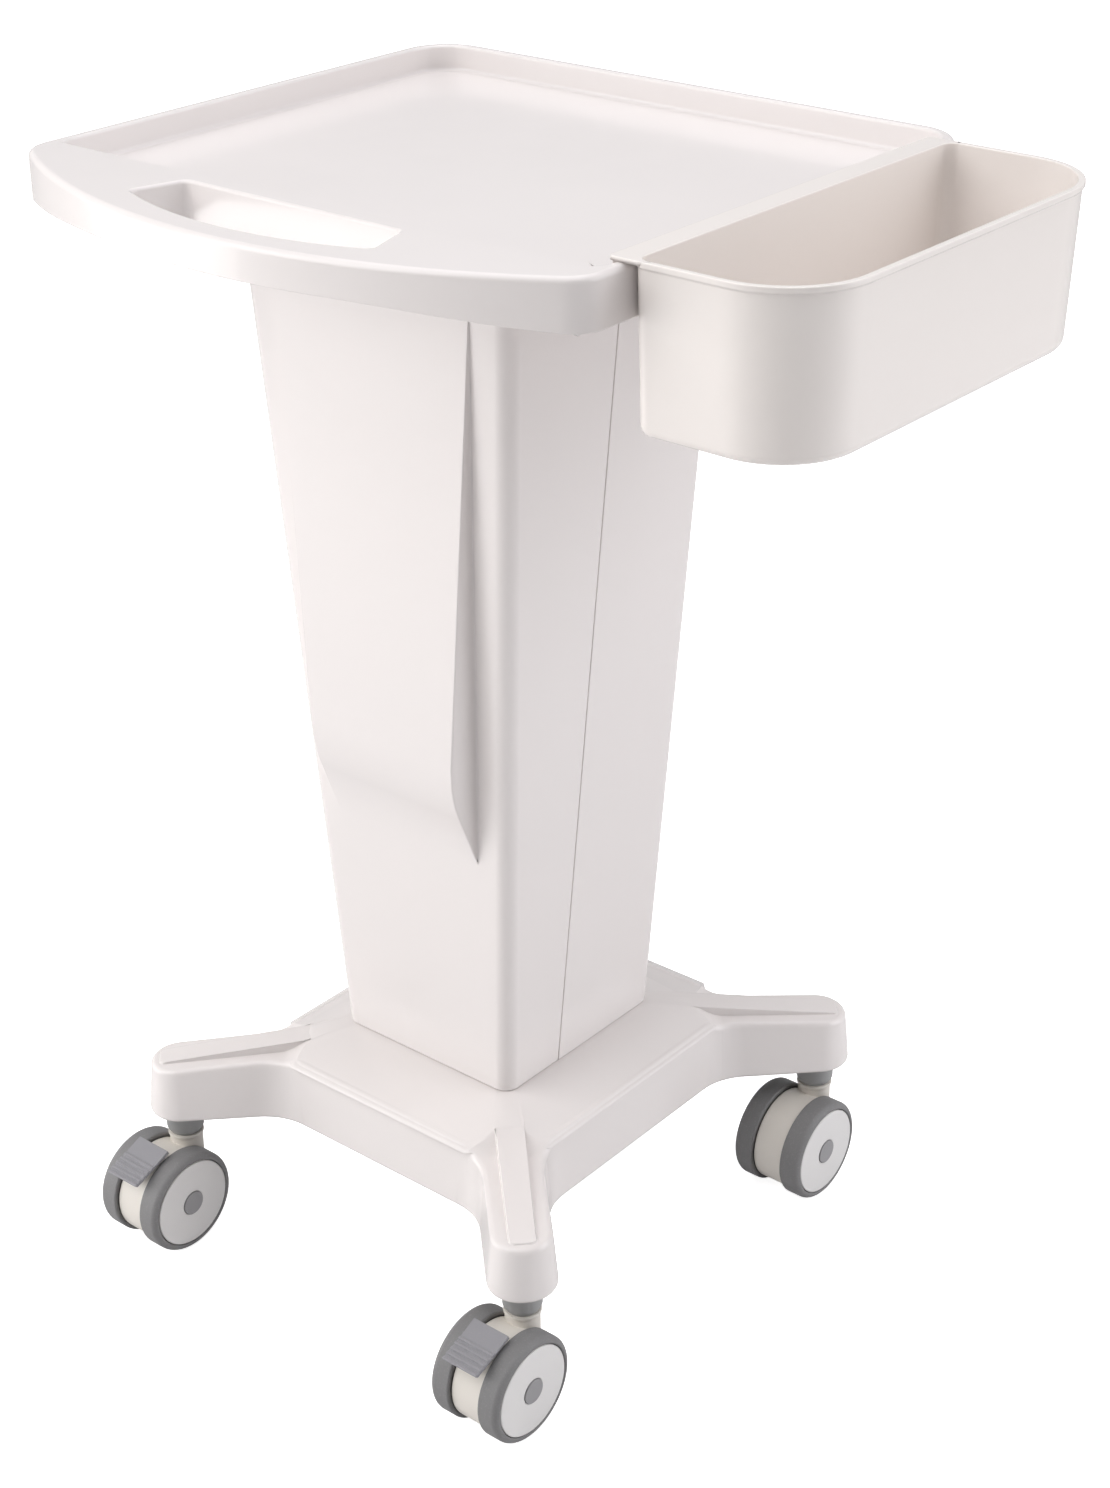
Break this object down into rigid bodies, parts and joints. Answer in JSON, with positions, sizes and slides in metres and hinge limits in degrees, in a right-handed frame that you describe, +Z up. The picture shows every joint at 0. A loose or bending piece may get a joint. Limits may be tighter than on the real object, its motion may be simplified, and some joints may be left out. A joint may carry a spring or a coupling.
{
  "type": "salon trolley",
  "caption": "Moulded tray trolley on a tapered column with an X base, twin-wheel casters, pedal brakes in front and a lift-off side bin",
  "frame": {"origin": "bottom centre of the bounding box, on the floor", "axes": "+Z up, -Y the front with the hand grip and the brake pedals, +X the side with the bin"},
  "size_m": [0.5554, 0.447, 0.7813],
  "materials": {
    "white_abs": "glossy moulded white",
    "cream_abs": "glossy moulded warm white",
    "caster_white": "satin creamy white",
    "tyre_grey": "soft grey tread, matt",
    "collar_grey": "satin mid grey",
    "pedal_grey": "satin blue-grey",
    "cap_grey": "satin light grey",
    "painted_steel": "grey powder coat",
    "zinc_steel": "zinc plated"
  },
  "bodies": {
    "chassis": {"tray_top": "white_abs", "column_front_shell": "white_abs", "column_rear_shell": "white_abs", "base_cover": "white_abs", "base_frame": "painted_steel", "mast_bracket_plate": "painted_steel", "mast_tube": "painted_steel", "mast_foot_plate": "painted_steel", "mast_bolt_1": "zinc_steel", "mast_bolt_2": "zinc_steel", "mast_bolt_3": "zinc_steel", "mast_bolt_4": "zinc_steel", "caster_front_right_collar": "collar_grey", "caster_front_right_stem": "zinc_steel", "caster_front_left_collar": "collar_grey", "caster_front_left_stem": "zinc_steel", "caster_back_right_collar": "collar_grey", "caster_back_right_stem": "zinc_steel", "caster_back_left_collar": "collar_grey", "caster_back_left_stem": "zinc_steel"},
    "bin": {"side_bin": "cream_abs"},
    "front_right_swivel": {"caster_front_right_body": "caster_white", "caster_front_right_axle": "zinc_steel", "caster_front_right_pedal_pin": "zinc_steel"},
    "front_right_wheel_left": {"caster_front_right_tyre_left": "tyre_grey", "caster_front_right_disc_left": "caster_white", "caster_front_right_cap_left": "cap_grey"},
    "front_right_wheel_right": {"caster_front_right_tyre_right": "tyre_grey", "caster_front_right_disc_right": "caster_white", "caster_front_right_cap_right": "cap_grey"},
    "front_right_brake": {"caster_front_right_pedal": "pedal_grey"},
    "front_left_swivel": {"caster_front_left_body": "caster_white", "caster_front_left_axle": "zinc_steel", "caster_front_left_pedal_pin": "zinc_steel"},
    "front_left_wheel_left": {"caster_front_left_tyre_left": "tyre_grey", "caster_front_left_disc_left": "caster_white", "caster_front_left_cap_left": "cap_grey"},
    "front_left_wheel_right": {"caster_front_left_tyre_right": "tyre_grey", "caster_front_left_disc_right": "caster_white", "caster_front_left_cap_right": "cap_grey"},
    "front_left_brake": {"caster_front_left_pedal": "pedal_grey"},
    "back_right_swivel": {"caster_back_right_body": "caster_white", "caster_back_right_axle": "zinc_steel"},
    "back_right_wheel_left": {"caster_back_right_tyre_left": "tyre_grey", "caster_back_right_disc_left": "caster_white", "caster_back_right_cap_left": "cap_grey"},
    "back_right_wheel_right": {"caster_back_right_tyre_right": "tyre_grey", "caster_back_right_disc_right": "caster_white", "caster_back_right_cap_right": "cap_grey"},
    "back_left_swivel": {"caster_back_left_body": "caster_white", "caster_back_left_axle": "zinc_steel"},
    "back_left_wheel_left": {"caster_back_left_tyre_left": "tyre_grey", "caster_back_left_disc_left": "caster_white", "caster_back_left_cap_left": "cap_grey"},
    "back_left_wheel_right": {"caster_back_left_tyre_right": "tyre_grey", "caster_back_left_disc_right": "caster_white", "caster_back_left_cap_right": "cap_grey"}
  },
  "joints": [
    {"name": "bin_lift", "type": "slide", "parent": "chassis", "child": "bin", "axis": [0, 0, 1], "range_m": [0, 0.12]},
    {"name": "front_right_turn", "type": "hinge", "parent": "chassis", "child": "front_right_swivel", "pos_m": [0.09975, -0.1485, 0.0775], "axis": [0, 0, 1], "continuous": true},
    {"name": "front_right_roll_left", "type": "hinge", "parent": "front_right_swivel", "child": "front_right_wheel_left", "pos_m": [0.09975, -0.172, 0.0375], "axis": [1, 0, 0], "continuous": true},
    {"name": "front_right_roll_right", "type": "hinge", "parent": "front_right_swivel", "child": "front_right_wheel_right", "pos_m": [0.09975, -0.172, 0.0375], "axis": [1, 0, 0], "continuous": true},
    {"name": "front_right_brake_press", "type": "hinge", "parent": "front_right_swivel", "child": "front_right_brake", "pos_m": [0.09975, -0.183, 0.0732], "axis": [1, 0, 0], "range_deg": [0, 12]},
    {"name": "front_left_turn", "type": "hinge", "parent": "chassis", "child": "front_left_swivel", "pos_m": [-0.21625, -0.1485, 0.0775], "axis": [0, 0, 1], "continuous": true},
    {"name": "front_left_roll_left", "type": "hinge", "parent": "front_left_swivel", "child": "front_left_wheel_left", "pos_m": [-0.21625, -0.172, 0.0375], "axis": [1, 0, 0], "continuous": true},
    {"name": "front_left_roll_right", "type": "hinge", "parent": "front_left_swivel", "child": "front_left_wheel_right", "pos_m": [-0.21625, -0.172, 0.0375], "axis": [1, 0, 0], "continuous": true},
    {"name": "front_left_brake_press", "type": "hinge", "parent": "front_left_swivel", "child": "front_left_brake", "pos_m": [-0.21625, -0.183, 0.0732], "axis": [1, 0, 0], "range_deg": [0, 12]},
    {"name": "back_right_turn", "type": "hinge", "parent": "chassis", "child": "back_right_swivel", "pos_m": [0.09975, 0.1855, 0.0775], "axis": [0, 0, 1], "continuous": true},
    {"name": "back_right_roll_left", "type": "hinge", "parent": "back_right_swivel", "child": "back_right_wheel_left", "pos_m": [0.09975, 0.162, 0.0375], "axis": [1, 0, 0], "continuous": true},
    {"name": "back_right_roll_right", "type": "hinge", "parent": "back_right_swivel", "child": "back_right_wheel_right", "pos_m": [0.09975, 0.162, 0.0375], "axis": [1, 0, 0], "continuous": true},
    {"name": "back_left_turn", "type": "hinge", "parent": "chassis", "child": "back_left_swivel", "pos_m": [-0.21625, 0.1855, 0.0775], "axis": [0, 0, 1], "continuous": true},
    {"name": "back_left_roll_left", "type": "hinge", "parent": "back_left_swivel", "child": "back_left_wheel_left", "pos_m": [-0.21625, 0.162, 0.0375], "axis": [1, 0, 0], "continuous": true},
    {"name": "back_left_roll_right", "type": "hinge", "parent": "back_left_swivel", "child": "back_left_wheel_right", "pos_m": [-0.21625, 0.162, 0.0375], "axis": [1, 0, 0], "continuous": true}
  ]
}
